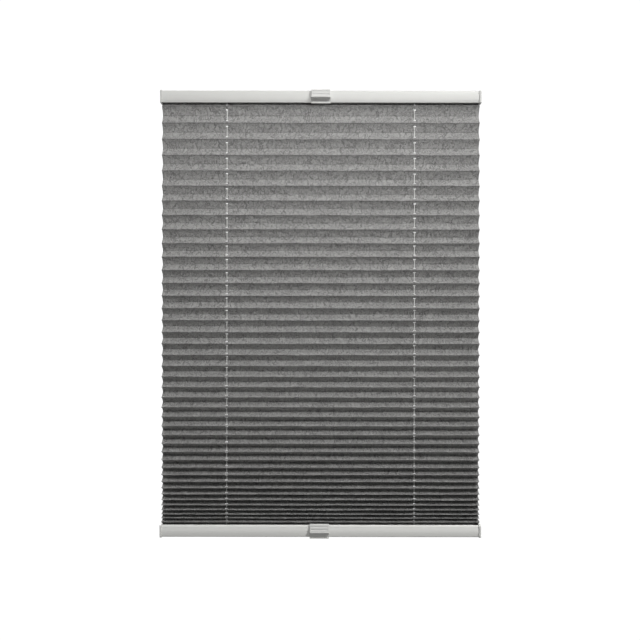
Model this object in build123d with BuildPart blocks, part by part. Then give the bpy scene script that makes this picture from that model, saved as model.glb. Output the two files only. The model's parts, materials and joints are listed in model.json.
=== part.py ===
"""Tensioned pleated blind: two sliding rails on two taut cords, with pleated fabric between them.

Millimetres, +Z up, front towards -Y. The origin is midway between the two upper tension shoes' screw
holes, on the plane that the shoes are screwed to, and the blind hangs down from there. The rails are
modelled as far apart as they go. Both rails are the same extrusion, and the lower one is turned over.
"""

import math
import os

from build123d import *

# Overall sizes
overall_width = 600.0
drop = 834.0
cord_spacing = 352.0

# How far a cutting shape runs past the surface it cuts
cut_overrun = 1.0

# Rail extrusion
rail_depth = 24.0
rail_height = 22.4
face_crown = 1.5
side_wall = 1.3
outer_wall = 1.6
lip_thickness = 1.3
lip_reach = 1.4
outer_corner_radius = 2.0
slot_side_corner_radius = 0.8
cavity_corner_radius = 0.8
face_line_height = 4.3
face_line_width = 0.5
face_line_depth = 0.35
clip_groove_width = 1.1
clip_groove_depth = 0.9

# End caps
cap_thickness = 3.6
cap_overhang = 1.0
cap_corner_radius = 2.6
cap_edge_radius = 0.7
plug_length = 11.0
plug_wall = 1.4
plug_clearance = 0.15
plug_lift = 1.2

# Pull handles
handle_width = 36.0
handle_plate = 1.2
handle_hook = 1.9
handle_gap = 0.1
handle_barb_length = 0.8
handle_barb_height = 0.7
nose_reach = 5.2
nose_radius = 2.0
nose_drop = 13.0
nose_shoulder_back = 0.7
nose_shoulder_rise = 1.6
nose_heel_back = 1.8
handle_top_chamfer = 1.0
recess_drop = 16.2
handle_lip_height = 2.2
handle_lip_reach = 0.8
handle_edge_radius = 0.5
nose_edge_margin = 0.05
rib_radius = 1.5
rib_depth = 0.45
rib_end_margin = 2.6
rib_drops = (2.3, 8.0)
lower_handle_offset = -2.0

# Fabric
fabric_thickness = 0.4
fabric_end_gap = 0.4
facet_length = 20.0
pleat_count = 40
pitch_fall = 0.525
pitch_sag = 0.051
pitch_flare = 0.107
first_fold_drop = 6.0
last_fold_rise = 6.2
tab_side_gap = 1.3
tab_clearance = 0.15
punch_length = 5.0
punch_width = 3.2
packed_pitch = 1.2

# Strips that hold the fabric's ends in the rails
strip_thickness = 1.0
strip_side_clearance = 0.1
strip_end_gap = 2.4
strip_hole_diameter = 5.0

# Cords
cord_diameter = 1.4
cord_end_inset = 0.6
crossing_clearance = 0.35
turn_end_gap = 0.9
turn_nose_gap = 0.25

# Beads that stop the cords in the tension shoes
bead_diameter = 3.8
bead_height = 2.8
bead_edge_radius = 0.7
bead_bore_clearance = 0.05
bead_pocket_clearance = 0.3
bead_pocket_depth = 3.2

# Tension shoes
shoe_length = 20.0
shoe_width = 9.6
shoe_height = 6.0
shoe_edge_radius = 0.5
shoe_hole_offset = 5.0
shoe_cord_clearance = 0.25
screw_hole_radius = 1.6
screw_head_radius = 2.9

# Cord guides
pocket_clearance = 0.3
guide_wall = 1.0
guide_floor = 1.2
guide_flange = 1.6
guide_flange_thickness = 1.0
window_clearance = 0.2
guide_cord_hole_diameter = 2.6
cheek_spacing = 8.4
cheek_thickness = 1.2
cheek_length = 15.0
turn_clearance = 0.15
guide_strip_clearance = 0.2

# Places that follow from the sizes above
profile_half_length = overall_width / 2 - cap_thickness
cord_x = cord_spacing / 2
upper_slot_face = -rail_height
lower_slot_face = -drop + rail_height
mid_plane = Plane.XY.offset(-drop / 2)
cavity_width = rail_depth - 2 * (face_crown + side_wall)
slot_width = cavity_width - 2 * lip_reach
cavity_top = -outer_wall
cavity_bottom = upper_slot_face + lip_thickness
cavity_height = cavity_top - cavity_bottom
strip_top = cavity_bottom + strip_thickness
shoe_centre_x = cord_x + shoe_hole_offset
bead_bore_radius = cord_diameter / 2 + bead_bore_clearance
screw_x = cord_x + 2 * shoe_hole_offset
pocket_floor = -shoe_height - pocket_clearance
tray_bottom = pocket_floor - guide_floor
cheek_bottom = strip_top + guide_strip_clearance
crossing_level = (tray_bottom + cheek_bottom) / 2
crossing_offset = cord_diameter + crossing_clearance
turn_space = (tray_bottom - cheek_bottom) / 2 - turn_nose_gap
turn_radius = (turn_space + cord_diameter / 2 + turn_clearance) / 2
turn_nose_radius = turn_space - turn_radius
turn_tail = turn_nose_radius - turn_end_gap
tab_half_width = slot_width / 2 - tab_side_gap
upper_tab_level = cavity_bottom - tab_clearance - fabric_thickness / 2
lower_tab_level = -drop - upper_tab_level

os.makedirs("parts", exist_ok=True)


def write(piece: Part, name: str) -> None:
    """Label a finished piece and write it to its own STEP file."""
    piece.label = name
    export_step(piece, f"parts/{name}.step")


def turned_over(piece: Part) -> Part:
    """The same piece on the lower rail: mirrored about the blind's mid-height."""
    with BuildPart() as lower:
        mirror(piece, about=mid_plane)
    return lower.part


# --- Rails -------------------------------------------------------------------------------------------

with BuildPart() as top_rail:
    with BuildSketch(Plane.YZ) as rail_section:
        edge_y = rail_depth / 2 - face_crown
        with BuildLine():
            Line((-edge_y, 0), (edge_y, 0))
            ThreePointArc((edge_y, 0), (rail_depth / 2, -rail_height / 2), (edge_y, -rail_height))
            Line((edge_y, -rail_height), (-edge_y, -rail_height))
            ThreePointArc((-edge_y, -rail_height), (-rail_depth / 2, -rail_height / 2), (-edge_y, 0))
        make_face()
        outer_corners = rail_section.vertices().group_by(Axis.Y)[-1]
        fillet(outer_corners, outer_corner_radius)
        slot_corners = rail_section.vertices().group_by(Axis.Y)[0]
        fillet(slot_corners, slot_side_corner_radius)
        with Locations((0, (cavity_top + cavity_bottom) / 2)):
            RectangleRounded(cavity_width, cavity_height, cavity_corner_radius, mode=Mode.SUBTRACT)
        with Locations((0, upper_slot_face)):
            Rectangle(slot_width, 2 * (lip_thickness + cut_overrun), mode=Mode.SUBTRACT)
        crown_share = 1 - (2 * face_line_height / rail_height - 1) ** 2
        line_y = edge_y + face_crown * crown_share
        with Locations(
            (-line_y, upper_slot_face + face_line_height),
            (line_y, upper_slot_face + face_line_height),
        ):
            Rectangle(2 * face_line_depth, face_line_width, mode=Mode.SUBTRACT)
        groove_y = (slot_width - clip_groove_width) / 2
        with Locations((-groove_y, 0), (groove_y, 0)):
            Rectangle(clip_groove_width, 2 * clip_groove_depth, mode=Mode.SUBTRACT)
    extrude(amount=profile_half_length, both=True)
    window_length = shoe_length + 2 * (pocket_clearance + guide_wall + window_clearance)
    window_width = shoe_width + 2 * (pocket_clearance + guide_wall + window_clearance)
    with Locations((-shoe_centre_x, 0, 0), (shoe_centre_x, 0, 0)):
        Box(window_length, window_width, 2 * (outer_wall + cut_overrun), mode=Mode.SUBTRACT)

write(top_rail.part, "top_rail")
write(turned_over(top_rail.part), "bottom_rail")

# --- End caps ----------------------------------------------------------------------------------------

for side, sign in (("left", -1), ("right", 1)):
    inner_face = Plane.YZ.offset(sign * profile_half_length)
    plug_height = cavity_height - strip_thickness - 2 * plug_lift
    plug_width = cavity_width - 2 * plug_clearance
    plug_centre = (cavity_top + strip_top) / 2
    with BuildPart() as end_cap:
        with BuildSketch(inner_face):
            with Locations((0, -rail_height / 2)):
                RectangleRounded(
                    rail_depth + 2 * cap_overhang,
                    rail_height + 2 * cap_overhang,
                    cap_corner_radius,
                )
        extrude(amount=sign * cap_thickness)
        outside = end_cap.faces().sort_by(Axis.X)[-1 if sign > 0 else 0]
        fillet(outside.edges(), cap_edge_radius)
        with BuildSketch(inner_face):
            with Locations((0, plug_centre)):
                Rectangle(plug_width, plug_height)
                Rectangle(plug_width - 2 * plug_wall, plug_height - 2 * plug_wall, mode=Mode.SUBTRACT)
        extrude(amount=-sign * plug_length)
    write(end_cap.part, f"top_{side}_end_cap")
    write(turned_over(end_cap.part), f"bottom_{side}_end_cap")

# --- Pull handles ------------------------------------------------------------------------------------


def pull_handle(centre_x: float, rail_top: float) -> Part:
    """A clip-on handle over the front of a rail whose upper face is at rail_top."""
    front = -rail_depth / 2 - handle_gap
    face = front - handle_plate
    hook_end = -slot_width / 2 + clip_groove_width - handle_gap
    barb_start = hook_end - handle_barb_length
    top = rail_top + handle_gap + handle_hook
    bottom = rail_top - rail_height - handle_gap - handle_hook
    upper_seat = rail_top + handle_gap
    lower_seat = rail_top - rail_height - handle_gap
    nose_tip = face - nose_reach + handle_plate
    nose_z = rail_top - nose_drop
    slope_start = (face, top - handle_top_chamfer)
    nose_top = (nose_tip + nose_shoulder_back, nose_z + nose_shoulder_rise)
    nose_front = (nose_tip, nose_z)
    nose_under = (nose_tip + nose_heel_back, nose_z - nose_radius)
    with BuildPart() as handle:
        with BuildSketch(Plane.YZ.offset(centre_x)):
            with BuildLine():
                Polyline(
                    nose_under,
                    (face, rail_top - recess_drop),
                    (face, bottom + handle_lip_height),
                    (face - handle_lip_reach, bottom + handle_lip_height - handle_lip_reach),
                    (face - handle_lip_reach, bottom + handle_edge_radius),
                    (face - handle_lip_reach + handle_edge_radius, bottom),
                    (hook_end, bottom),
                    (hook_end, lower_seat + handle_barb_height),
                    (barb_start, lower_seat + handle_barb_height),
                    (barb_start, lower_seat),
                    (front, lower_seat),
                    (front, upper_seat),
                    (barb_start, upper_seat),
                    (barb_start, upper_seat - handle_barb_height),
                    (hook_end, upper_seat - handle_barb_height),
                    (hook_end, top),
                    (face + handle_top_chamfer, top),
                    slope_start,
                    nose_top,
                )
                ThreePointArc(nose_top, nose_front, nose_under)
            make_face()
        extrude(amount=handle_width / 2, both=True)
        end_faces = handle.faces().filter_by(Axis.X)
        nose_edges = end_faces.edges().filter_by(lambda edge: edge.center().Y < face - nose_edge_margin)
        fillet(nose_edges, handle_edge_radius)
        slope_run = nose_top[0] - slope_start[0]
        slope_fall = nose_top[1] - slope_start[1]
        slope_length = math.hypot(slope_run, slope_fall)
        for rib_drop in rib_drops:
            share = (rail_top - rib_drop - slope_start[1]) / slope_fall
            lift = rib_radius - rib_depth
            rib_y = slope_start[0] + share * slope_run + lift * slope_fall / slope_length
            rib_z = rail_top - rib_drop - lift * slope_run / slope_length
            with Locations((centre_x, rib_y, rib_z)):
                Cylinder(
                    rib_radius,
                    handle_width - 2 * rib_end_margin,
                    rotation=(0, 90, 0),
                    mode=Mode.SUBTRACT,
                )
    return handle.part


write(pull_handle(0.0, 0.0), "top_handle")
write(pull_handle(lower_handle_offset, lower_slot_face), "bottom_handle")

# --- Strips that hold the fabric's ends --------------------------------------------------------------

with BuildPart() as fabric_strip:
    with Locations((0, 0, strip_top - strip_thickness / 2)):
        Box(
            2 * (profile_half_length - strip_end_gap),
            cavity_width - 2 * (cavity_corner_radius + strip_side_clearance),
            strip_thickness,
        )
    with Locations((-cord_x, 0, strip_top), (cord_x, 0, strip_top)):
        Cylinder(strip_hole_diameter / 2, 2 * (strip_thickness + cut_overrun), mode=Mode.SUBTRACT)

write(fabric_strip.part, "top_fabric_strip")
write(turned_over(fabric_strip.part), "bottom_fabric_strip")

# --- Cord guides: a pocket for the tension shoe, with two turning noses below it ----------------------

pocket_length = shoe_length + 2 * pocket_clearance
pocket_width = shoe_width + 2 * pocket_clearance

for side, sign in (("left", -1), ("right", 1)):
    with BuildPart() as cord_guide:
        with Locations((sign * shoe_centre_x, 0, tray_bottom)):
            Box(
                pocket_length + 2 * guide_wall,
                pocket_width + 2 * guide_wall,
                -tray_bottom,
                align=(Align.CENTER, Align.CENTER, Align.MIN),
            )
        with Locations((sign * shoe_centre_x, 0, cavity_top - guide_flange_thickness)):
            Box(
                pocket_length + 2 * (guide_wall + guide_flange),
                pocket_width + 2 * (guide_wall + guide_flange),
                guide_flange_thickness,
                align=(Align.CENTER, Align.CENTER, Align.MIN),
            )
        with Locations((sign * shoe_centre_x, 0, pocket_floor)):
            Box(
                pocket_length,
                pocket_width,
                -2 * pocket_floor,
                align=(Align.CENTER, Align.CENTER, Align.MIN),
                mode=Mode.SUBTRACT,
            )
        cheek_y = (cheek_spacing + cheek_thickness) / 2
        with Locations((sign * cord_x, -cheek_y, cheek_bottom), (sign * cord_x, cheek_y, cheek_bottom)):
            Box(
                cheek_length,
                cheek_thickness,
                tray_bottom - cheek_bottom,
                align=(Align.CENTER, Align.CENTER, Align.MIN),
            )
        nose_x = sign * (cord_x - turn_radius)
        with Locations(
            (nose_x, 0, crossing_level + turn_radius),
            (nose_x, 0, crossing_level - turn_radius),
        ):
            Cylinder(turn_nose_radius, cheek_spacing + cheek_thickness, rotation=(90, 0, 0))
        with Locations((sign * cord_x, 0, pocket_floor)):
            Cylinder(guide_cord_hole_diameter / 2, 2 * (guide_floor + cut_overrun), mode=Mode.SUBTRACT)
    write(cord_guide.part, f"top_{side}_cord_guide")
    write(turned_over(cord_guide.part), f"bottom_{side}_cord_guide")

# --- Cords -------------------------------------------------------------------------------------------

# The upright runs are whole, because the rails slide along them.
for side, sign in (("left", -1), ("right", 1)):
    with BuildPart() as cord:
        with Locations((sign * cord_x, 0, -drop / 2)):
            Cylinder(cord_diameter / 2, drop - 2 * cord_end_inset)
    write(cord.part, f"{side}_cord")

# Inside a rail each cord crosses to the other side, down round one nose and under the other.
for name, sign in (("front", -1), ("rear", 1)):
    with BuildPart() as crossing_cord:
        start_z = crossing_level + turn_radius + turn_tail
        end_z = crossing_level - turn_radius - turn_tail
        with BuildLine() as crossing_path:
            FilletPolyline(
                (sign * cord_x, sign * crossing_offset, start_z),
                (sign * cord_x, sign * crossing_offset, crossing_level),
                (-sign * cord_x, sign * crossing_offset, crossing_level),
                (-sign * cord_x, sign * crossing_offset, end_z),
                radius=turn_radius,
            )
        with BuildSketch(Plane(origin=crossing_path.line @ 0, z_dir=crossing_path.line % 0)):
            Circle(cord_diameter / 2)
        sweep(path=crossing_path.line)
    write(crossing_cord.part, f"top_{name}_crossing_cord")
    write(turned_over(crossing_cord.part), f"bottom_{name}_crossing_cord")

# --- Tension shoes and the beads in them -------------------------------------------------------------

for side, sign in (("left", -1), ("right", 1)):
    with BuildPart() as tension_shoe:
        with BuildSketch(Plane.XY.offset(-shoe_height)):
            with Locations((sign * shoe_centre_x, 0)):
                SlotOverall(shoe_length, shoe_width)
        extrude(amount=shoe_height)
        fillet(tension_shoe.faces().sort_by(Axis.Z)[0].edges(), shoe_edge_radius)
        with Locations((sign * cord_x, 0, 0)):
            CounterBoreHole(
                cord_diameter / 2 + shoe_cord_clearance,
                bead_diameter / 2 + bead_pocket_clearance,
                bead_pocket_depth,
            )
        with Locations(Location((sign * screw_x, 0, -shoe_height), (180, 0, 0))):
            CounterSinkHole(screw_hole_radius, screw_head_radius)
    write(tension_shoe.part, f"top_{side}_tension_shoe")
    write(turned_over(tension_shoe.part), f"bottom_{side}_tension_shoe")

    with BuildPart() as cord_bead:
        with Locations((sign * cord_x, 0, bead_height / 2 - bead_pocket_depth)):
            Cylinder(bead_diameter / 2, bead_height)
        fillet(cord_bead.edges().sort_by(Axis.Z)[-1], bead_edge_radius)
        with Locations((sign * cord_x, 0, -bead_pocket_depth)):
            Cylinder(bead_bore_radius, 2 * (bead_height + cut_overrun), mode=Mode.SUBTRACT)
    write(cord_bead.part, f"top_{side}_cord_bead")
    write(turned_over(cord_bead.part), f"bottom_{side}_cord_bead")

# --- Fabric ------------------------------------------------------------------------------------------

# The pitch falls from the top pleat to the lowest, most quickly at both ends, and every facet keeps its
# length. A step runs from -1 at the top pleat to 1 at the lowest.
folded_height = upper_slot_face - first_fold_drop - (lower_slot_face + last_fold_rise)
steps = [2 * index / (pleat_count - 1) - 1 for index in range(pleat_count)]
shares = [1 - pitch_fall * step - pitch_sag * step**2 - pitch_flare * step**3 for step in steps]
pitches = [folded_height * share / sum(shares) for share in shares]
pleat_depths = [math.sqrt(facet_length**2 - (pitch / 2) ** 2) for pitch in pitches]

folds = [(-tab_half_width, upper_tab_level), (tab_half_width, upper_tab_level)]
fold_z = upper_slot_face - first_fold_drop
front_folds = []
for index in range(pleat_count):
    above = pleat_depths[max(index - 1, 0)]
    front_y = -(above + pleat_depths[index]) / 4
    front_folds.append((front_y, fold_z))
    folds.append((front_y, fold_z))
    folds.append((pleat_depths[index] / 2, fold_z - pitches[index] / 2))
    fold_z -= pitches[index]
front_folds.append((-pleat_depths[-1] / 2, fold_z))
folds.append(front_folds[-1])
folds.append((tab_half_width, lower_tab_level))
folds.append((-tab_half_width, lower_tab_level))

punch_places = []
for (y_1, z_1), (y_2, z_2) in zip(folds, folds[1:]):
    share = -y_1 / (y_2 - y_1)
    tilt = math.degrees(math.atan2(z_2 - z_1, y_2 - y_1))
    for x in (-cord_x, cord_x):
        punch_places.append(Location((x, 0, z_1 + share * (z_2 - z_1)), (tilt, 0, 0)))

with BuildPart() as punch:
    with BuildSketch():
        SlotOverall(punch_length, punch_width)
    extrude(amount=fabric_thickness + cut_overrun, both=True)

with BuildPart() as fabric:
    with BuildSketch(Plane.YZ):
        with BuildLine() as pleat_line:
            Polyline(*folds)
        trace(line_width=fabric_thickness)
        with Locations(*folds[1:-1]):
            Circle(fabric_thickness / 2)
    extrude(amount=profile_half_length - fabric_end_gap, both=True)
    with Locations(*punch_places):
        add(punch.part, mode=Mode.SUBTRACT)

write(fabric.part, "fabric")

# --- Figures for the record --------------------------------------------------------------------------

meeting_fold = min(front_folds, key=lambda fold: abs(fold[1] + drop / 2))[1]
upper_pleats = sum(1 for fold in front_folds if fold[1] > meeting_fold)
lower_pleats = pleat_count - upper_pleats
cloth_length = sum(math.dist(fold, following) for fold, following in zip(folds, folds[1:]))
print("fabric flat length", round(cloth_length, 1), "pitch", pitches[0], pitches[-1])
print("fabric meets at z", round(meeting_fold, 3), "pleats above, below", upper_pleats, lower_pleats)
print("top rail travel", round(upper_slot_face - meeting_fold - (upper_pleats + 1) * packed_pitch, 1))
print("bottom rail travel", round(meeting_fold - lower_slot_face - (lower_pleats + 1) * packed_pitch, 1))
print("crossing turn radius", turn_radius, "screw pattern", 2 * screw_x, "fabric pieces", len(fabric.solids()))
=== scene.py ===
"""Finished look of a tensioned pleated blind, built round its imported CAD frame.

Every length is in metres, in the CAD's own axes: the origin is midway between the upper tension shoes'
screw holes, +Z is up and the front faces -Y.
"""

import json
import logging
import math
from bisect import bisect_right
from dataclasses import dataclass, field
from enum import Enum
from typing import Any, Union

import bmesh
import bpy
from mathutils import Matrix, Vector, noise

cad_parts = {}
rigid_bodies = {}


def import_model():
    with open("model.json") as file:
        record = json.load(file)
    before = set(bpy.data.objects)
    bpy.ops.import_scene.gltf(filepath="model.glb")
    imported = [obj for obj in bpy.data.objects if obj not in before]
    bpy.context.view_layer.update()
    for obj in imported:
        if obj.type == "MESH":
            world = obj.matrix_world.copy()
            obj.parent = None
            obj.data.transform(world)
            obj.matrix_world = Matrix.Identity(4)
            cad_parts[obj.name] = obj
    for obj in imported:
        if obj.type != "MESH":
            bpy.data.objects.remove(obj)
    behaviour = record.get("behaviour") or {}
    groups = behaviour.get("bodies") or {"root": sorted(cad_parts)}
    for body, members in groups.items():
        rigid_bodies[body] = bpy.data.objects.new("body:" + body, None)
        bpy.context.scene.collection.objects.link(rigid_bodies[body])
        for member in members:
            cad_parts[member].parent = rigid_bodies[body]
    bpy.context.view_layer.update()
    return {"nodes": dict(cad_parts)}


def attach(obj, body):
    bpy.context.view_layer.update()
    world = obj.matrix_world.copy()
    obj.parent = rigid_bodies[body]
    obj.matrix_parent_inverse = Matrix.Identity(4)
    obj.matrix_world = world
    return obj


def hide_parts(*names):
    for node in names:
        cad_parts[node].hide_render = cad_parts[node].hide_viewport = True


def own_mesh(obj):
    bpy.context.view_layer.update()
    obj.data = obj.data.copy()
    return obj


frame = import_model()

log = logging.getLogger("pleated_blind")

# --- Shader maths ------------------------------------------------------------------------------------


class Value:
    """A number in a node tree that can be written in arithmetic."""

    def __init__(self, shader: "Shader", socket: bpy.types.NodeSocket) -> None:
        """Wrap a socket.

        Args:
            shader: the shader whose tree holds the socket.
            socket: the output that carries the number.
        """
        self.shader = shader
        self.socket = socket

    def _maths(self, operation: str, *terms: "Number") -> "Value":
        """One Math node on the terms."""
        node = self.shader.node("ShaderNodeMath", {"operation": operation}, dict(enumerate(terms)))
        return Value(self.shader, node.outputs[0])

    def __add__(self, other: "Number") -> "Value":
        """This plus other."""
        return self._maths("ADD", self, other)

    __radd__ = __add__

    def __sub__(self, other: "Number") -> "Value":
        """This less other."""
        return self._maths("SUBTRACT", self, other)

    def __rsub__(self, other: "Number") -> "Value":
        """Other less this."""
        return self._maths("SUBTRACT", other, self)

    def __mul__(self, other: "Number") -> "Value":
        """This times other."""
        return self._maths("MULTIPLY", self, other)

    __rmul__ = __mul__

    def __abs__(self) -> "Value":
        """This without its sign."""
        return self._maths("ABSOLUTE", self)

    def sine(self) -> "Value":
        """The sine of this, in radians."""
        return self._maths("SINE", self)

    def rising(self, low: float, high: float) -> "Value":
        """A smooth step on this.

        Args:
            low: where the step starts, at 0.
            high: where the step ends, at 1.

        Returns:
            0 below low, 1 above high, and a smooth rise between them.
        """
        node = self.shader.node(
            "ShaderNodeMapRange",
            {"interpolation_type": "SMOOTHSTEP"},
            {"Value": self, "From Min": low, "From Max": high},
        )
        return Value(self.shader, node.outputs["Result"])


Number = Union[Value, float]
Colour = tuple[float, float, float]
Axes = tuple[float, float, float]
Socket = bpy.types.NodeSocket


class Shader:
    """One material and its node tree."""

    def __init__(self, name: str) -> None:
        """Make an empty material.

        Args:
            name: the material's name.
        """
        self.material = bpy.data.materials.new(name)
        self.material.use_nodes = True
        self.tree = self.material.node_tree
        self.tree.nodes.clear()

    def node(self, kind: str, settings: dict[str, Any], values: dict[Any, Any]) -> bpy.types.Node:
        """Add one node.

        Args:
            kind: the node's type.
            settings: the node's own settings, set before its sockets are filled.
            values: a value, a socket or a Value for each input, by name or number.

        Returns:
            The new node.
        """
        made = self.tree.nodes.new(kind)
        for name, setting in settings.items():
            setattr(made, name, setting)
        for key, value in values.items():
            if isinstance(value, Value):
                self.tree.links.new(value.socket, made.inputs[key])
            elif isinstance(value, Socket):
                self.tree.links.new(value, made.inputs[key])
            else:
                made.inputs[key].default_value = value
        return made

    def object_place(self, stretch: Axes = (1.0, 1.0, 1.0)) -> Socket:
        """Object coordinates, stretched along each axis."""
        place = self.node("ShaderNodeTexCoord", {}, {}).outputs["Object"]
        return self.stretched(place, stretch)

    def cloth_place(self, layer: str) -> Socket:
        """The piece's own UV map of that name."""
        return self.node("ShaderNodeUVMap", {"uv_map": layer}, {}).outputs["UV"]

    def stretched(self, place: Socket, stretch: Axes) -> Socket:
        """A place with each of its axes scaled."""
        return self.node("ShaderNodeMapping", {}, {"Vector": place, "Scale": stretch}).outputs["Vector"]

    def axes(self, place: Socket) -> tuple[Value, Value, Value]:
        """The three parts of a place."""
        parts = self.node("ShaderNodeSeparateXYZ", {}, {0: place})
        return tuple(Value(self, part) for part in parts.outputs)

    def shifted(self, place: Socket, drift: Socket, reach: float) -> Socket:
        """A place pushed about by a colour of noise.

        Args:
            place: the place to push.
            drift: the colour, whose middle value of 0.5 pushes nothing.
            reach: how far a full colour pushes.

        Returns:
            The pushed place's socket.
        """
        centred = self.node(
            "ShaderNodeVectorMath", {"operation": "SUBTRACT"}, {0: drift, 1: (0.5, 0.5, 0.5)}
        )
        scaled = self.node(
            "ShaderNodeVectorMath", {"operation": "SCALE"}, {0: centred.outputs[0], "Scale": reach}
        )
        added = self.node("ShaderNodeVectorMath", {"operation": "ADD"}, {0: place, 1: scaled.outputs[0]})
        return added.outputs[0]

    def noise(self, place: Socket, scale: float, detail: float) -> list[Socket]:
        """A noise on a place: its number and its colour."""
        settings = {"Vector": place, "Scale": scale, "Detail": detail, "Roughness": 0.5}
        return list(self.node("ShaderNodeTexNoise", {}, settings).outputs)

    def noise_value(self, place: Socket, scale: float, detail: float = 3.0) -> Value:
        """The number of a noise, about 0.5."""
        return Value(self, self.noise(place, scale, detail)[0])

    def mixed(self, factor: Number, first: Any, second: Any) -> Socket:
        """A blend of two colours.

        Args:
            factor: how much of the second colour shows, from 0 to 1.
            first: the colour at 0, as three numbers or a socket.
            second: the colour at 1, as three numbers or a socket.

        Returns:
            The blend's socket.
        """
        colours = [(*c, 1.0) if isinstance(c, tuple) else c for c in (first, second)]
        node = self.node(
            "ShaderNodeMix", {"data_type": "RGBA"}, {0: factor, 6: colours[0], 7: colours[1]}
        )
        return node.outputs[2]

    def bumped(
        self, height: Value, distance: float, strength: float, under: Union[Socket, None] = None
    ) -> Socket:
        """A Bump node's normal.

        Args:
            height: the relief, from 0 to 1.
            distance: how high a relief of 1 stands, in metres.
            strength: the node's strength.
            under: another bump's normal that this one lies on.

        Returns:
            The normal's socket.
        """
        values = {"Height": height, "Distance": distance, "Strength": strength}
        if under is not None:
            values["Normal"] = under
        return self.node("ShaderNodeBump", {}, values).outputs["Normal"]

    def surface(self, **values: Any) -> bpy.types.Material:
        """Finish the material with a Principled shader.

        Args:
            values: the shader's inputs, with underscores for the spaces in their names.

        Returns:
            The finished material.
        """
        inputs = {
            name.replace("_", " "): (*value, 1.0) if isinstance(value, tuple) else value
            for name, value in values.items()
        }
        shader = self.node("ShaderNodeBsdfPrincipled", {}, inputs)
        self.node("ShaderNodeOutputMaterial", {}, {"Surface": shader.outputs[0]})
        return self.material


# --- Finishes ----------------------------------------------------------------------------------------


@dataclass(frozen=True)
class CrushedCloth:
    """Crushed polyester: a grey plain weave with pressed-in creases, and painted shade along them and in
    sharp pleat lines.
    """

    name: str = "crushed_cloth"
    colour: Colour = (0.420, 0.417, 0.408)
    # Dark end of the base colour: painted shade in creases, under ridges and in valleys, and random
    # mottle.
    shade_and_mottle_colour: Colour = (0.190, 0.188, 0.184)
    roughness: float = 0.86
    thread: float = 0.00055
    drift_scale: float = 95.0
    drift_reach: float = 0.009
    long_creases: float = 120.0
    long_stretch: Axes = (1.0, 0.50, 1.0)
    long_sharpness: float = 16.0
    short_creases: float = 230.0
    short_sharpness: float = 11.0
    short_share: float = 0.6
    cover: float = 1.15
    patch_scale: float = 60.0
    patch_step: tuple[float, float] = (0.36, 0.60)
    ridge_shade_step: tuple[float, float] = (0.0001, 0.0026)
    ridge_shade_above: float = 0.45
    valley_shade_step: tuple[float, float] = (0.0186, 0.0199)
    mottle_scale: float = 430.0
    cloud_scale: float = 26.0
    plain_tone: float = 0.18
    # Painted shade: how strongly the creases, the line under each ridge and each valley darken the base
    # colour.
    crease_painted_shade: float = 0.78
    ridge_painted_shade: float = 0.66
    valley_painted_shade: float = 0.42
    mottle_tone: float = 1.5
    cloud_tone: float = 0.4
    thread_height: float = 0.00004
    rumple_height: float = 0.0043
    crease_height: float = 0.0008
    thread_strength: float = 0.5
    crease_strength: float = 0.9

    def material(self) -> bpy.types.Material:
        """The cloth's material, on the cloth's own flat coordinates.

        Returns:
            The finished material.
        """
        shader = Shader(self.name)
        flat = shader.cloth_place("Cloth")
        drift = shader.noise(flat, self.drift_scale, 2.0)[1]
        pushed = shader.shifted(flat, drift, self.drift_reach)
        upright = shader.stretched(pushed, self.long_stretch)
        long_wave = shader.noise_value(upright, self.long_creases, 2.0)
        short_wave = shader.noise_value(pushed, self.short_creases, 2.0)
        long_crease = self.crease_line(long_wave, self.long_sharpness)
        short_crease = self.crease_line(short_wave, self.short_sharpness)
        patch = shader.noise_value(flat, self.patch_scale, 2.0).rising(*self.patch_step)
        creases = long_crease * patch + self.short_share * short_crease * (self.cover - patch)
        across, along, _ = shader.axes(flat)
        turn = 2.0 * math.pi / self.thread
        weave = (across * turn).sine() * (along * turn).sine()
        # Painted shade: a dark line just under each pleat ridge, fainter on the facet above it.
        from_ridge, beneath, _ = shader.axes(shader.cloth_place("Pleat"))
        ridge_shade_sides = self.ridge_shade_above + (1.0 - self.ridge_shade_above) * beneath
        painted_ridge_shade = (1.0 - from_ridge.rising(*self.ridge_shade_step)) * ridge_shade_sides
        # Painted shade: a dark line along each valley fold.
        painted_valley_shade = from_ridge.rising(*self.valley_shade_step)
        mottle = shader.noise_value(pushed, self.mottle_scale, 4.0)
        cloud = shader.noise_value(flat, self.cloud_scale, 3.0)
        # Painted shade: creases, the line under each ridge and each valley darken the base colour; mottle
        # and cloud vary it at random.
        shade = self.crease_painted_shade * creases + self.ridge_painted_shade * painted_ridge_shade
        shade = shade + self.valley_painted_shade * painted_valley_shade
        tone = self.plain_tone + shade + (mottle - 0.5) * self.mottle_tone
        tone = tone + (cloud - 0.5) * self.cloud_tone
        base = shader.mixed(tone, self.colour, self.shade_and_mottle_colour)
        relief = shader.bumped(weave * 0.5 + 0.5, self.thread_height, self.thread_strength)
        waves = long_wave + self.short_share * short_wave
        rumpled = shader.bumped(waves, self.rumple_height, self.crease_strength, relief)
        smooth = 1.0 - creases
        return shader.surface(
            Base_Color=base,
            Roughness=self.roughness,
            Sheen_Weight=0.06,
            Sheen_Roughness=0.5,
            Normal=shader.bumped(smooth, self.crease_height, self.crease_strength, rumpled),
        )

    @staticmethod
    def crease_line(wave: Value, sharpness: float) -> Value:
        """Thin lines where a wave of noise crosses its middle.

        Args:
            wave: the noise, about 0.5.
            sharpness: how quickly a line fades to its sides.

        Returns:
            1 along the lines, and 0 away from them.
        """
        return 1.0 - (abs(wave - 0.5) * sharpness).rising(0.0, 1.0)


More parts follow.
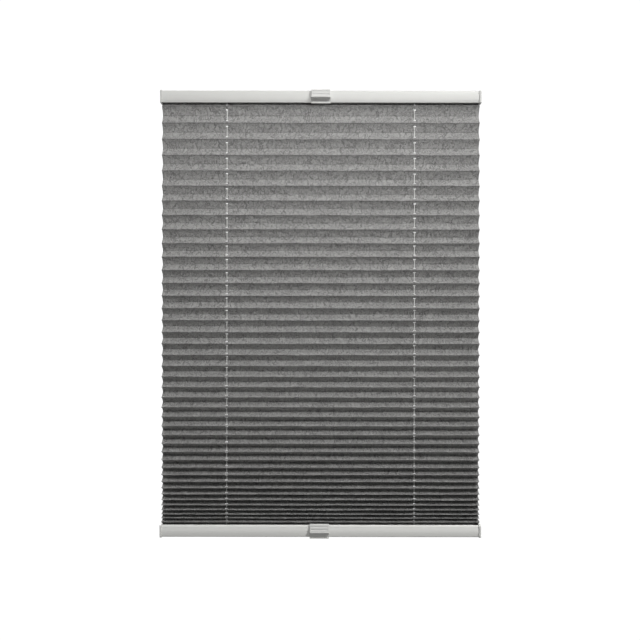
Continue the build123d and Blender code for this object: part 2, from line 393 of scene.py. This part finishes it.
@dataclass(frozen=True)
class CoatedMetal:
    """Extruded aluminium with a satin silver coat."""

    name: str = "coated_aluminium"
    colour: Colour = (0.60, 0.60, 0.578)
    worn: Colour = (0.675, 0.675, 0.652)
    metallic: float = 0.10
    roughness: float = 0.55
    line_stretch: Axes = (2.5, 1500.0, 1500.0)
    cloud_stretch: Axes = (6.0, 40.0, 40.0)
    grain_scale: float = 2600.0
    line_height: float = 0.00003
    line_tone: float = 0.35
    line_roughness: float = 0.16
    grain_height: float = 0.00002
    grain_roughness: float = 0.12
    cloud_tone: float = 0.45
    cloud_floor: float = 0.3

    def material(self) -> bpy.types.Material:
        """The coat's material, with fine lines along the extrusion.

        Returns:
            The finished material.
        """
        shader = Shader(self.name)
        lines = shader.noise_value(shader.object_place(self.line_stretch), 1.0, 4.0)
        grain = shader.noise_value(shader.object_place(), self.grain_scale, 2.0)
        cloud = shader.noise_value(shader.object_place(self.cloud_stretch), 1.0, 2.0)
        wear = self.line_tone * lines + self.cloud_tone * (cloud - self.cloud_floor)
        base = shader.mixed(wear, self.colour, self.worn)
        rough = self.roughness + (lines - 0.5) * self.line_roughness
        rough = rough + (grain - 0.5) * self.grain_roughness
        lined = shader.bumped(lines, self.line_height, 0.35)
        return shader.surface(
            Base_Color=base,
            Metallic=self.metallic,
            Roughness=rough,
            Normal=shader.bumped(grain, self.grain_height, 0.4, lined),
        )


@dataclass(frozen=True)
class MouldedPlastic:
    """Moulded plastic with a fine spark-eroded texture."""

    name: str
    colour: Colour
    roughness: float = 0.45
    texture: float = 1900.0
    depth: float = 0.00003
    grain_tone: float = 0.5
    grain_roughness: float = 0.18
    cloud_scale: float = 90.0
    cloud_tone: float = 0.6
    cloud_floor: float = 0.4
    cloud_roughness: float = 0.08
    shade: float = 0.90
    refraction: float = 1.49

    def material(self) -> bpy.types.Material:
        """The plastic's material.

        Returns:
            The finished material.
        """
        shader = Shader(self.name)
        grain = shader.noise_value(shader.object_place(), self.texture, 3.0)
        cloud = shader.noise_value(shader.object_place(), self.cloud_scale, 2.0)
        deeper = tuple(self.shade * part for part in self.colour)
        wear = self.grain_tone * grain + self.cloud_tone * (cloud - self.cloud_floor)
        base = shader.mixed(wear, self.colour, deeper)
        rough = self.roughness + (grain - 0.5) * self.grain_roughness
        return shader.surface(
            Base_Color=base,
            Roughness=rough + (cloud - 0.5) * self.cloud_roughness,
            IOR=self.refraction,
            Normal=shader.bumped(grain, self.depth, 0.5),
        )


@dataclass(frozen=True)
class BraidedCord:
    """Thin braided polyester cord that runs upright at one x."""

    name: str = "braided_cord"
    colour: Colour = (0.90, 0.90, 0.88)
    gap_colour: Colour = (0.62, 0.62, 0.60)
    roughness: float = 0.62
    strand_pitch: float = 0.0016
    strand_height: float = 0.00012
    strand_tone: float = 0.65
    fibre_tone: float = 0.25
    fibre_scale: float = 9000.0
    fibre_stretch: Axes = (1.0, 1.0, 0.25)

    def material(self) -> bpy.types.Material:
        """The cord's material: two sets of slanted strands that cross.

        Returns:
            The finished material.
        """
        shader = Shader(self.name)
        across, through, up = shader.axes(shader.object_place())
        turn = 2.0 * math.pi / self.strand_pitch
        right = ((across + through + up) * turn).sine()
        left = ((across + through - up) * turn).sine()
        strands = (right * left) * 0.5 + 0.5
        fibre = shader.noise_value(shader.object_place(self.fibre_stretch), self.fibre_scale, 2.0)
        tone = strands * self.strand_tone + fibre * self.fibre_tone
        base = shader.mixed(tone, self.gap_colour, self.colour)
        return shader.surface(
            Base_Color=base,
            Roughness=self.roughness,
            Normal=shader.bumped(strands, self.strand_height, 0.7),
        )


@dataclass(frozen=True)
class StudioWhite:
    """Evenly lit white of the studio's sweep."""

    name: str = "studio_white"
    brightness: float = 1.05

    def material(self) -> bpy.types.Material:
        """A material that shows as plain white.

        Returns:
            The finished material.
        """
        return Shader(self.name).surface(
            Base_Color=(0.0, 0.0, 0.0),
            Roughness=1.0,
            Specular_IOR_Level=0.0,
            Emission_Color=(1.0, 1.0, 1.0),
            Emission_Strength=self.brightness,
        )


# --- Making pieces -----------------------------------------------------------------------------------


def as_piece(mesh: bmesh.types.BMesh, name: str, material: bpy.types.Material) -> bpy.types.Object:
    """Turn a finished bmesh into an object at the origin.

    Args:
        mesh: the bmesh, which is freed.
        name: the piece's name.
        material: its one material.

    Returns:
        The new object.
    """
    data = bpy.data.meshes.new(name)
    mesh.to_mesh(data)
    mesh.free()
    data.materials.append(material)
    piece = bpy.data.objects.new(name, data)
    bpy.context.scene.collection.objects.link(piece)
    return piece


# --- Fabric ------------------------------------------------------------------------------------------


class Half(Enum):
    """The two halves of the fabric, by the joint that draws each together."""

    UPPER = "top_rail_slide"
    LOWER = "bottom_rail_slide"


@dataclass(frozen=True)
class Length:
    """One length of the fabric, from one fold to another."""

    name: str
    half: Half
    first_fold: int
    last_fold: int
    hangs_from: tuple[str, ...]


@dataclass(frozen=True)
class Ripple:
    """One kind of unevenness in the cloth: smooth noise with its own height and scale."""

    height: float
    across: float
    down: float
    layer: float

    def noise_at(self, x: float, down: float, push: Axes) -> float:
        """The plain noise, from -1 to 1, at a place that is pushed about."""
        return noise.noise(
            (x * self.across + push[0], down * self.down + push[1], self.layer + push[2])
        )

    def wave(self, x: float, down: float, push: Axes = (0.0, 0.0, 0.0)) -> float:
        """How high a soft wave stands at a place."""
        return self.height * self.noise_at(x, down, push)

    def crease(self, x: float, down: float, push: Axes) -> float:
        """How high a sharp crease stands at a place, where the noise crosses its middle."""
        return self.height * (1.0 - abs(self.noise_at(x, down, push))) ** 6


@dataclass
class PleatedFabric:
    """The cloth, folded into 40 pleats and punched for the cords, in four lengths that meet at folds.

    The folds are the CAD's: every facet keeps its length, and the pitch falls from top to bottom.
    """

    half_width: float = 0.2974
    tab_half_length: float = 0.296
    drop: float = 0.834
    rail_height: float = 0.0224
    facet: float = 0.020
    pleats: int = 40
    pitch_fall: float = 0.525
    pitch_sag: float = 0.051
    pitch_flare: float = 0.107
    first_fold_drop: float = 0.0060
    last_fold_rise: float = 0.0062
    tab_half_width: float = 0.0065
    tab_level: float = -0.02145
    cord_x: float = 0.176
    punch_length: float = 0.0050
    punch_width: float = 0.0032
    punch_corners: int = 16
    thickness: float = 0.0003
    columns: int = 222
    row_shares: tuple[float, ...] = (0.0, 0.03, 0.175, 0.337, 0.5, 0.663, 0.825, 0.97)
    bow: float = 0.0016
    bow_share: float = 0.11
    fold_margin: float = 0.003
    fold_share: float = 0.15
    back_ripples: tuple[Ripple, Ripple] = (
        Ripple(0.00022, 14.0, 7.31, 0.37),
        Ripple(0.00012, 55.0, 5.17, 4.1),
    )
    upright_ripples: tuple[Ripple, Ripple] = (
        Ripple(0.00042, 11.0, 3.77, 8.9),
        Ripple(0.00026, 48.0, 2.93, 2.6),
    )
    drift: Ripple = Ripple(1.0, 60.0, 60.0, 3.1)
    tall_creases: Ripple = Ripple(0.00080, 92.0, 46.0, 7.7)
    slanted_creases: Ripple = Ripple(0.00068, 105.0, 52.0, 12.4)
    short_ripples: Ripple = Ripple(0.00042, 175.0, 120.0, 1.3)
    swell: Ripple = Ripple(0.00030, 21.0, 33.0, 5.9)
    split_folds: tuple[int, int] = (16, 57)
    meeting_fold: int = 30
    travel: dict[Half, float] = field(
        default_factory=lambda: {Half.UPPER: 0.366, Half.LOWER: 0.372}
    )
    stack_gap: dict[Half, float] = field(
        default_factory=lambda: {Half.UPPER: 0.0014, Half.LOWER: 0.0024}
    )
    finish: CrushedCloth = CrushedCloth()

    def __post_init__(self) -> None:
        """Work out the line of the folds and how far along the cloth each of them is."""
        top = -self.rail_height - self.first_fold_drop
        bottom = -self.drop + self.rail_height + self.last_fold_rise
        steps = [2.0 * index / (self.pleats - 1) - 1.0 for index in range(self.pleats)]
        shares = [
            1.0 - self.pitch_fall * step - self.pitch_sag * step**2 - self.pitch_flare * step**3
            for step in steps
        ]
        pitches = [(top - bottom) * share / sum(shares) for share in shares]
        depths = [math.sqrt(self.facet**2 - (pitch / 2.0) ** 2) for pitch in pitches]
        folds = [(-self.tab_half_width, self.tab_level), (self.tab_half_width, self.tab_level)]
        self.bows = [0.0, 0.0]
        level = top
        for index, (pitch, depth) in enumerate(zip(pitches, depths)):
            above = depths[max(index - 1, 0)]
            folds.append((-(above + depth) / 4.0, level))
            folds.append((depth / 2.0, level - pitch / 2.0))
            self.bows += [min(self.bow, self.bow_share * pitch)] * 2
            level -= pitch
        folds.append((-depths[-1] / 2.0, level))
        folds.append((self.tab_half_width, -self.drop - self.tab_level))
        folds.append((-self.tab_half_width, -self.drop - self.tab_level))
        self.bows += [0.0, 0.0]
        self.folds = folds
        self.along = [0.0]
        for here, following in zip(folds, folds[1:]):
            self.along.append(self.along[-1] + math.dist(here, following))

    @property
    def lengths(self) -> tuple[Length, ...]:
        """The four lengths of the cloth.

        Returns:
            The lengths, from the top down.
        """
        upper, lower = self.split_folds
        middle, last = self.meeting_fold, len(self.folds) - 1
        below = ("bottom_fabric_strip", "fabric_lower_pleats")
        return (
            Length("fabric_top_pleats", Half.UPPER, 0, upper, ("top_fabric_strip",)),
            Length("fabric_upper_pleats", Half.UPPER, upper, middle, ("fabric_top_pleats",)),
            Length("fabric_lower_pleats", Half.LOWER, middle, lower, ("fabric_upper_pleats",)),
            Length("fabric_bottom_pleats", Half.LOWER, lower, last, below),
        )

    def wander(self, fold: int, x: float) -> tuple[float, float]:
        """How far a fold strays from its straight line.

        Args:
            fold: which fold. The tabs in the rails don't stray.
            x: the place across the cloth.

        Returns:
            How far it strays in y and in z.
        """
        if fold < 2 or fold > len(self.folds) - 3:
            return 0.0, 0.0
        back_1, back_2 = (ripple.wave(x, fold) for ripple in self.back_ripples)
        up_1, up_2 = (ripple.wave(x, fold) for ripple in self.upright_ripples)
        return back_1 + back_2, up_1 + up_2

    def crush(self, x: float, along: float) -> float:
        """Height of the cloth's pressed-in creases.

        Args:
            x: the place across the flat cloth.
            along: the place down the flat cloth.

        Returns:
            The height over the plain facet.
        """
        drift = self.drift.wave(x, along)
        height = self.tall_creases.crease(x, along, (0.9 * drift, 0.6 * drift, 0.0))
        height -= self.slanted_creases.crease(x + along, x - along, (0.0, 0.0, drift))
        height += self.short_ripples.wave(x, along, (drift, 0.0, 0.0))
        return height + self.swell.wave(x, along)

    def placed(self, x: float, along: float) -> Vector:
        """Where a point of the flat cloth is on the folded one.

        Args:
            x: the point's place across the cloth.
            along: its distance down the cloth from the upper tab's end.

        Returns:
            The folded point.
        """
        fold = min(max(bisect_right(self.along, along) - 1, 0), len(self.folds) - 2)
        run = self.along[fold + 1] - self.along[fold]
        share = (along - self.along[fold]) / run
        (y_1, z_1), (y_2, z_2) = self.folds[fold], self.folds[fold + 1]
        (back_1, up_1), (back_2, up_2) = self.wander(fold, x), self.wander(fold + 1, x)
        y_1, z_1, y_2, z_2 = y_1 + back_1, z_1 + up_1, y_2 + back_2, z_2 + up_2
        span = math.hypot(y_2 - y_1, z_2 - z_1)
        normal_y, normal_z = -(z_2 - z_1) / span, (y_2 - y_1) / span
        lift = 0.0
        if 1 < fold < len(self.folds) - 3:
            near_fold = min(share, 1.0 - share) * run
            lift = self.bows[fold] * math.sin(math.pi * share)
            lift += self.crush(x, along) * min(1.0, self.fold_share + near_fold / self.fold_margin)
        from_tab = min(along - self.along[1], self.along[-2] - along) / (self.along[2] - self.along[1])
        widening = (self.half_width - self.tab_half_length) * min(max(from_tab, 0.0), 1.0)
        side_edge = self.tab_half_length + widening
        return Vector(
            (
                max(-side_edge, min(side_edge, x)),
                y_1 + share * (y_2 - y_1) + lift * normal_y,
                z_1 + share * (z_2 - z_1) + lift * normal_z,
            )
        )

    def cord_share(self, fold: int) -> float:
        """Where the bowed cloth crosses the cords' plane.

        Args:
            fold: the fold at the facet's upper side.

        Returns:
            How far down the facet it crosses, as a share of the facet.
        """
        (y_1, z_1), (y_2, z_2) = self.folds[fold], self.folds[fold + 1]
        back = self.bows[fold] * (z_1 - z_2) / math.hypot(y_2 - y_1, z_2 - z_1)
        share = 0.5
        for _ in range(8):
            share = -(y_1 + back * math.sin(math.pi * share)) / (y_2 - y_1)
        return share

    def row_places(self, length: Length) -> list[float]:
        """Where the mesh has its rows, with the punched rows on the cords' plane.

        Args:
            length: which length.

        Returns:
            How far along the cloth each row is.
        """
        rows = []
        for fold in range(length.first_fold, length.last_fold):
            start, run = self.along[fold], self.along[fold + 1] - self.along[fold]
            middle = self.cord_share(fold)
            for share in self.row_shares:
                above, below = share * middle / 0.5, 1.0 - (1.0 - share) * (1.0 - middle) / 0.5
                rows.append(start + run * (above if share <= 0.5 else below))
        rows.append(self.along[length.last_fold])
        return rows

    def punch(self, mesh: bmesh.types.BMesh, centre: bmesh.types.BMVert) -> None:
        """Cut an oblong hole into the flat cloth about one vertex of its grid.

        Args:
            mesh: the flat cloth.
            centre: the vertex at the hole's middle.
        """
        spot = centre.co.copy()
        rim = {edge for face in centre.link_faces for edge in face.edges} - set(centre.link_edges)
        bmesh.ops.delete(mesh, geom=[centre], context="VERTS")
        radius = self.punch_width / 2.0
        ring = bmesh.ops.create_circle(
            mesh, segments=self.punch_corners, radius=radius, matrix=Matrix.Translation(spot)
        )
        for vert in ring["verts"]:
            side = (vert.co.x - spot.x) / radius
            away = math.copysign(min(1.0, abs(side) * 2.0), side)
            vert.co.x += away * (self.punch_length / 2.0 - radius)
        inner = {edge for vert in ring["verts"] for edge in vert.link_edges}
        bmesh.ops.bridge_loops(mesh, edges=[*rim, *inner])

    def build(self, length: Length, material: bpy.types.Material) -> bpy.types.Object:
        """Make one length of the fabric.

        Args:
            length: which length.
            material: the cloth's material.

        Returns:
            The finished piece.
        """
        rows = self.row_places(length)
        mesh = bmesh.new()
        bmesh.ops.create_grid(mesh, x_segments=self.columns, y_segments=len(rows) - 1, size=0.5)
        mesh.verts.ensure_lookup_table()
        column_width = 2.0 * self.half_width / self.columns
        cord_columns = {
            round((self.half_width + x) / column_width): x for x in (-self.cord_x, self.cord_x)
        }
        grid = {}
        for vert in mesh.verts:
            column = round((vert.co.x + 0.5) * self.columns)
            row = round((vert.co.y + 0.5) * (len(rows) - 1))
            x = cord_columns.get(column, column * column_width - self.half_width)
            vert.co = Vector((x, rows[row], 0.0))
            grid[column, row] = vert
        step = len(self.row_shares)
        for row in range(step // 2, len(rows), step):
            for column in cord_columns:
                self.punch(mesh, grid[column, row])
        cloth = mesh.loops.layers.uv.new("Cloth")
        # The Pleat map gives each point's distance from its ridge and whether it lies beneath it; the
        # cloth's material paints shade under the ridges and in the valleys from it.
        pleat = mesh.loops.layers.uv.new("Pleat")
        for face in mesh.faces:
            centre = face.calc_center_median().y
            fold = min(max(bisect_right(self.along, centre) - 1, 0), len(self.folds) - 2)
            beneath = fold % 2 == 0
            ridge = self.along[fold] if beneath else self.along[fold + 1]
            for loop in face.loops:
                loop[cloth].uv = (loop.vert.co.x, loop.vert.co.y)
                loop[pleat].uv = (abs(loop.vert.co.y - ridge), 1.0 if beneath else 0.0)
            face.smooth = True
        for vert in mesh.verts:
            vert.co = self.placed(vert.co.x, vert.co.y)
        bmesh.ops.recalc_face_normals(mesh, faces=mesh.faces)
        piece = as_piece(mesh, length.name, material)
        wall = piece.modifiers.new("cloth_thickness", "SOLIDIFY")
        wall.thickness = self.thickness
        wall.offset = 0.0
        return piece

    def drawn_share(self, half: Half) -> float:
        """How high a half of the fabric is when its rail has drawn it together, as a share of its height.

        Args:
            half: which half.

        Returns:
            The share that leaves the half's outermost ridge just clear of the rail.
        """
        upper = half is Half.UPPER
        rail_face = -self.rail_height if upper else self.rail_height - self.drop
        ridge_level = self.folds[2 if upper else -3][1]
        meeting_level = self.folds[self.meeting_fold][1]
        room = abs(rail_face - meeting_level) - self.travel[half] - self.stack_gap[half]
        return room / abs(ridge_level - meeting_level)

    def make(self) -> None:
        """Make the four lengths and hang each on the cords."""
        material = self.finish.material()
        for length in self.lengths:
            piece = self.build(length, material)
            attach(piece, "cords")
            self.drawn_share(length.half)
            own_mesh(piece)
            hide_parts("fabric")


# --- CAD pieces and their finishes -------------------------------------------------------------------


@dataclass
class Hardware:
    """The rails, caps, handles and inner pieces, whose shapes are the CAD's."""

    ends: tuple[str, str] = ("top", "bottom")
    sides: tuple[str, str] = ("left", "right")
    metal: CoatedMetal = CoatedMetal()
    cap: MouldedPlastic = MouldedPlastic("cap_plastic", (0.56, 0.56, 0.54), 0.5)
    handle: MouldedPlastic = MouldedPlastic(
        "handle_plastic", (0.68, 0.68, 0.66), roughness=0.40, texture=2600.0, depth=0.000015
    )
    strip: MouldedPlastic = MouldedPlastic("strip_plastic", (0.62, 0.62, 0.60), 0.5)
    guide: MouldedPlastic = MouldedPlastic("guide_plastic", (0.70, 0.70, 0.68), 0.45)
    shoe: MouldedPlastic = MouldedPlastic("shoe_plastic", (0.72, 0.72, 0.70), 0.42)
    bead: MouldedPlastic = MouldedPlastic("bead_plastic", (0.78, 0.77, 0.74), 0.3)
    cord: BraidedCord = BraidedCord()

    def dress(self, node: str, material: bpy.types.Material) -> None:
        """Give one CAD node its finish.

        Args:
            node: the node's name.
            material: its finish.
        """
        target = frame["nodes"][node]
        for slot in target.material_slots:
            slot.material = material
        if not target.material_slots:
            target.data.materials.append(material)
        log.info("%s: %s", node, material.name)

    def make(self) -> None:
        """Dress every CAD node that stays."""
        finishes = {
            name: getattr(self, name).material()
            for name in ("metal", "cap", "handle", "strip", "guide", "shoe", "bead", "cord")
        }
        for end in self.ends:
            self.dress(f"{end}_rail", finishes["metal"])
            self.dress(f"{end}_handle", finishes["handle"])
            self.dress(f"{end}_fabric_strip", finishes["strip"])
            for place in ("front", "rear"):
                self.dress(f"{end}_{place}_crossing_cord", finishes["cord"])
            for side in self.sides:
                self.dress(f"{end}_{side}_end_cap", finishes["cap"])
                self.dress(f"{end}_{side}_cord_guide", finishes["guide"])
                self.dress(f"{end}_{side}_tension_shoe", finishes["shoe"])
                self.dress(f"{end}_{side}_cord_bead", finishes["bead"])
        for side in self.sides:
            self.dress(f"{side}_cord", finishes["cord"])


# --- Studio ------------------------------------------------------------------------------------------


class Subject(Enum):
    """What a softbox is flagged to light."""

    CLOTH = "cloth"
    HANDLES = "handles"
    TOP_RAIL = "top rail"
    BOTTOM_RAIL = "bottom rail"

    @staticmethod
    def of(piece: bpy.types.Object) -> "Subject":
        """Which subject a piece belongs to.

        Args:
            piece: a mesh of the blind.

        Returns:
            The subject.
        """
        if piece.name.startswith("fabric_") or piece.name.endswith("_cord"):
            return Subject.CLOTH
        if piece.name.endswith("_handle"):
            return Subject.HANDLES
        return Subject.TOP_RAIL if piece.name.startswith("top_") else Subject.BOTTOM_RAIL


@dataclass(frozen=True)
class Softbox:
    """A square soft light that faces the blind, with what it lights."""

    name: str
    toward: Axes
    distance: float
    size: float
    level: float
    subjects: tuple[Subject, ...] = tuple(Subject)


@dataclass
class Studio:
    """Camera, lights, floor and white surround."""

    centre: Axes = (0.0, 0.0, -0.417)
    eye: Axes = (-0.0011, -1.832, -0.4285)
    lens: float = 54.87
    sensor_width: float = 36.0
    clip: tuple[float, float] = (0.05, 60.0)
    tilt: float = math.radians(90.0)
    roll: float = math.radians(-0.075)
    dome_radius: float = 16.0
    floor_radius: float = 12.0
    floor_level: float = -2.2
    ground: float = 0.38
    horizon: float = 0.21
    sky: float = 0.50
    softboxes: tuple[Softbox, ...] = (
        Softbox("cloth_light", (0.10, -1.03, 0.53), 1.17, 0.35, 0.62, (Subject.CLOTH,)),
        Softbox("cloth_key", (0.59, -0.39, 0.71), 3.0, 0.20, 0.20, (Subject.CLOTH,)),
        Softbox("top_light", (0.13, -1.0, 0.50), 1.25, 0.60, 0.32, (Subject.TOP_RAIL,)),
        Softbox("top_key", (0.62, -0.42, 0.68), 3.0, 0.22, 0.80, (Subject.TOP_RAIL,)),
        Softbox("bottom_light", (-0.15, -1.0, 0.30), 1.6, 0.60, 0.12, (Subject.BOTTOM_RAIL,)),
        Softbox("bottom_key", (0.62, -0.42, 0.68), 3.0, 0.22, 1.55, (Subject.BOTTOM_RAIL,)),
        Softbox("handle_key", (0.45, -0.33, 0.76), 3.0, 0.22, 1.06, (Subject.HANDLES,)),
        Softbox("rear_light", (-0.35, 0.85, 0.30), 3.4, 1.6, 0.40),
    )

    def set_camera(self) -> None:
        """Place the camera level before the blind."""
        data = bpy.data.cameras.new("camera")
        data.lens = self.lens
        data.sensor_width = self.sensor_width
        data.clip_start, data.clip_end = self.clip
        camera = bpy.data.objects.new("camera", data)
        camera.location = self.eye
        camera.rotation_euler = (self.tilt, self.roll, 0.0)
        bpy.context.scene.collection.objects.link(camera)
        bpy.context.scene.camera = camera

    def hang_light(self, box: Softbox) -> None:
        """Hang one softbox, with a power that gives its level at the blind's middle.

        Args:
            box: the softbox. One that is flagged lights only the pieces already in the scene.
        """
        data = bpy.data.lights.new(box.name, "AREA")
        data.shape = "SQUARE"
        data.size = box.size
        data.energy = box.level * math.pi**2 * box.distance**2
        light = bpy.data.objects.new(box.name, data)
        direction = Vector(box.toward).normalized()
        light.location = Vector(self.centre) + direction * box.distance
        light.rotation_euler = direction.to_track_quat("Z", "Y").to_euler()
        light.visible_camera = False
        bpy.context.scene.collection.objects.link(light)
        if len(box.subjects) < len(Subject):
            lit = bpy.data.collections.new(f"lit_by_{box.name}")
            for piece in bpy.context.scene.objects:
                if piece.type == "MESH" and Subject.of(piece) in box.subjects:
                    lit.objects.link(piece)
            light.light_linking.receiver_collection = lit

    def surround(self) -> None:
        """Put the blind in a white dome over a pale floor, which the camera sees and no light uses."""
        white = StudioWhite().material()
        dome = bmesh.new()
        bmesh.ops.create_icosphere(dome, subdivisions=4, radius=self.dome_radius)
        bmesh.ops.reverse_faces(dome, faces=dome.faces)
        floor = bmesh.new()
        level = Matrix.Translation((0.0, 0.0, self.floor_level))
        bmesh.ops.create_circle(
            floor, cap_ends=True, segments=64, radius=self.floor_radius, matrix=level
        )
        for mesh, name in ((dome, "backdrop"), (floor, "floor")):
            piece = as_piece(mesh, name, white)
            piece.visible_diffuse = False
            piece.visible_glossy = False
            piece.visible_shadow = False

    def fill(self) -> None:
        """Fill the studio with soft light that changes from the ground, past the horizon, to the sky."""
        world = bpy.data.worlds.new("studio")
        world.use_nodes = True
        tree = world.node_tree
        direction = tree.nodes.new("ShaderNodeTexCoord")
        height = tree.nodes.new("ShaderNodeSeparateXYZ")
        share = tree.nodes.new("ShaderNodeMapRange")
        share.inputs["From Min"].default_value = -1.0
        ramp = tree.nodes.new("ShaderNodeValToRGB")
        ramp.color_ramp.elements.new(0.5)
        for stop, level in zip(ramp.color_ramp.elements, (self.ground, self.horizon, self.sky)):
            stop.color = (level, level, level, 1.0)
        tree.links.new(direction.outputs["Generated"], height.inputs[0])
        tree.links.new(height.outputs["Z"], share.inputs["Value"])
        tree.links.new(share.outputs["Result"], ramp.inputs["Fac"])
        tree.links.new(ramp.outputs["Color"], tree.nodes["Background"].inputs["Color"])
        bpy.context.scene.world = world

    def make(self) -> None:
        """Set up the camera, the lights and the surround."""
        bpy.context.scene.view_settings.view_transform = "Standard"
        self.fill()
        self.set_camera()
        for box in self.softboxes:
            self.hang_light(box)
        self.surround()


def main() -> None:
    """Build the blind's looks."""
    logging.basicConfig(level=logging.INFO, format="%(name)s: %(message)s")
    PleatedFabric().make()
    Hardware().make()
    Studio().make()


if __name__ == "__main__":
    main()
